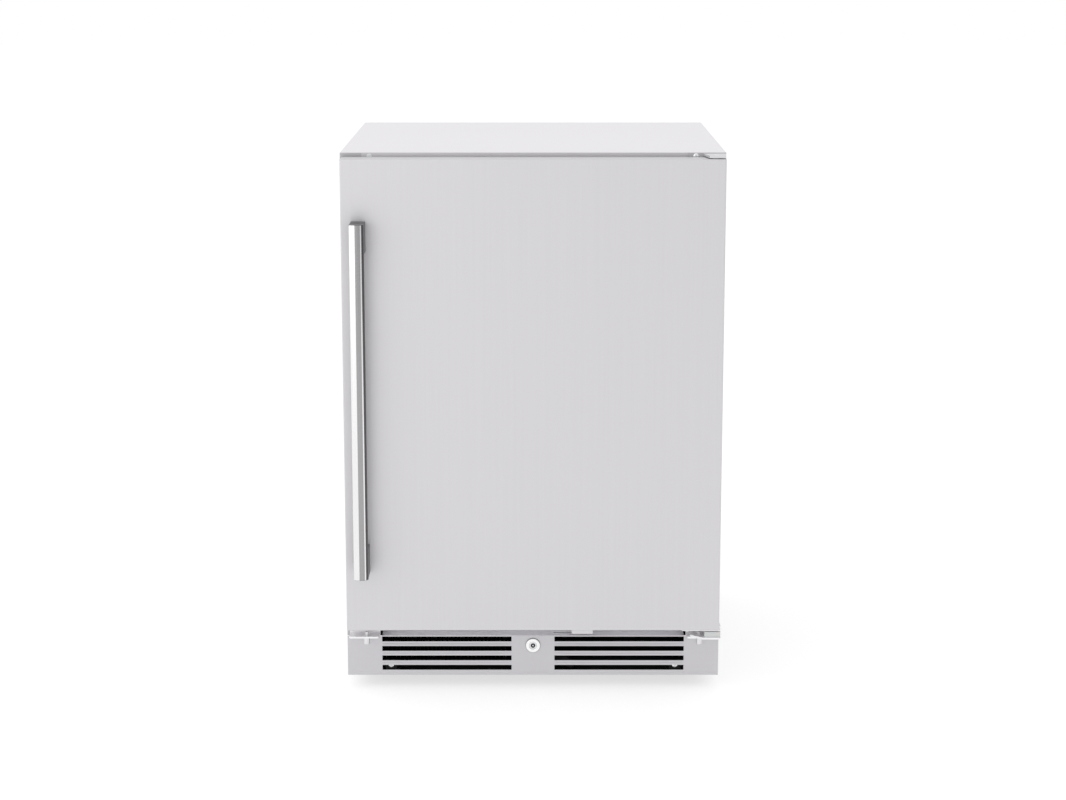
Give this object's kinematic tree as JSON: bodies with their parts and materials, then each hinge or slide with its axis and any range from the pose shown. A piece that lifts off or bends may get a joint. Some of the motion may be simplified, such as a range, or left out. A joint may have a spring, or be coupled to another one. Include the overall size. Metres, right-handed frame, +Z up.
{
  "type": "undercounter refrigerator",
  "caption": "Undercounter refrigerator with a hinged solid stainless door, bar handle, vented kickplate with key lock, wire shelves and levelling feet.",
  "frame": {"origin": "bottom centre of the whole closed refrigerator, on the floor", "axes": "+Z up, +X the viewer's right, the door faces -Y"},
  "size_m": [0.595, 0.6469, 0.86],
  "materials": {
    "stainless": "fine vertical brushed grain",
    "galvanised": "dull zinc-coated sheet",
    "handle_metal": "satin, brushed along its length",
    "chrome": "bright plated",
    "shelf_wire": "bright plated wire",
    "white_plastic": "smooth moulded",
    "black_plastic": "fine moulded texture",
    "black_paint": "black enamel or matt paint",
    "black_rubber": "matt",
    "gasket_rubber": "soft matt vinyl",
    "foam": "closed-cell polyurethane",
    "aluminium": "mill finish fins",
    "copper": "drawn copper",
    "nylon": "moulded nylon",
    "display": "smoked window",
    "lens": "frosted diffuser",
    "foot": "moulded pad on a zinc stem"
  },
  "bodies": {
    "cabinet": {"side_panel_left": "stainless", "side_panel_right": "stainless", "top_panel": "stainless", "rear_panel": "galvanised", "bottom_deck": "stainless", "base_pan": "black_paint", "cabinet_foam": "foam", "inner_liner": "white_plastic", "evaporator_cover": "white_plastic", "evaporator_coil": "aluminium", "evaporator_fan_motor": "black_plastic", "shelf_pilasters": "stainless", "shelf_clips": "stainless", "control_housing": "black_plastic", "control_display": "display", "light_lens": "lens", "compressor": "black_paint", "compressor_grommets": "black_rubber", "condenser_coil": "black_paint", "condenser_fan_shroud": "black_paint", "condenser_fan_motor": "black_plastic", "refrigerant_tubes": "copper", "drip_tray": "black_plastic", "electronics_box": "black_plastic", "rear_cover": "galvanised", "cord_gland": "black_rubber", "kickplate": "stainless", "lock_body": "chrome", "lock_nut": "chrome", "hinge_bracket_left": "stainless", "hinge_bracket_right": "stainless", "hinge_arm": "stainless", "hinge_spacer": "nylon", "hinge_bolts": "chrome", "hinge_pins": "chrome", "upper_hinge": "stainless", "panel_screws": "chrome", "hole_plug": "nylon"},
    "door": {"door_skin": "stainless", "door_foam": "foam", "door_liner": "white_plastic", "door_gasket": "gasket_rubber", "door_bushes": "nylon", "door_corner_plate": "stainless", "strike_bracket": "stainless", "handle_bar": "handle_metal", "handle_mounts": "handle_metal", "handle_screws": "chrome"},
    "lock": {"lock_plug": "chrome", "lock_latch": "black_paint"},
    "evaporator_fan": {"evaporator_fan": "black_plastic"},
    "condenser_fan": {"condenser_fan": "black_plastic"},
    "shelf_1": {"shelf_1": "shelf_wire"},
    "shelf_2": {"shelf_2": "shelf_wire"},
    "button_warmer": {"button_warmer": "black_plastic"},
    "button_cooler": {"button_cooler": "black_plastic"},
    "foot_front_left": {"foot_front_left": "foot"},
    "foot_front_right": {"foot_front_right": "foot"},
    "foot_rear_left": {"foot_rear_left": "foot"},
    "foot_rear_right": {"foot_rear_right": "foot"}
  },
  "joints": [
    {"name": "door_hinge", "type": "hinge", "parent": "cabinet", "child": "door", "pos_m": [0.28, -0.2595, 0.108], "axis": [0, 0, 1], "range_deg": [0, 110]},
    {"name": "lock_turn", "type": "hinge", "parent": "cabinet", "child": "lock", "pos_m": [0, -0.2315, 0.07], "axis": [0, -1, 0], "range_deg": [0, 45]},
    {"name": "evaporator_fan_spin", "type": "hinge", "parent": "cabinet", "child": "evaporator_fan", "pos_m": [0, 0.2275, 0.4], "axis": [0, -1, 0], "continuous": true},
    {"name": "condenser_fan_spin", "type": "hinge", "parent": "cabinet", "child": "condenser_fan", "pos_m": [-0.142, -0.0285, 0.06], "axis": [0, -1, 0], "continuous": true},
    {"name": "shelf_1_lift", "type": "slide", "parent": "cabinet", "child": "shelf_1", "axis": [0, 0, 1], "range_m": [0, 0.02]},
    {"name": "shelf_2_lift", "type": "slide", "parent": "cabinet", "child": "shelf_2", "axis": [0, 0, 1], "range_m": [0, 0.02]},
    {"name": "button_warmer_press", "type": "slide", "parent": "cabinet", "child": "button_warmer", "axis": [0, 1, 0], "range_m": [0, 0.001], "stiffness_N_per_m": 300},
    {"name": "button_cooler_press", "type": "slide", "parent": "cabinet", "child": "button_cooler", "axis": [0, 1, 0], "range_m": [0, 0.001], "stiffness_N_per_m": 300},
    {"name": "foot_front_left_adjust", "type": "slide", "parent": "cabinet", "child": "foot_front_left", "axis": [0, 0, -1], "range_m": [0, 0.02]},
    {"name": "foot_front_right_adjust", "type": "slide", "parent": "cabinet", "child": "foot_front_right", "axis": [0, 0, -1], "range_m": [0, 0.02]},
    {"name": "foot_rear_left_adjust", "type": "slide", "parent": "cabinet", "child": "foot_rear_left", "axis": [0, 0, -1], "range_m": [0, 0.02]},
    {"name": "foot_rear_right_adjust", "type": "slide", "parent": "cabinet", "child": "foot_rear_right", "axis": [0, 0, -1], "range_m": [0, 0.02]}
  ]
}
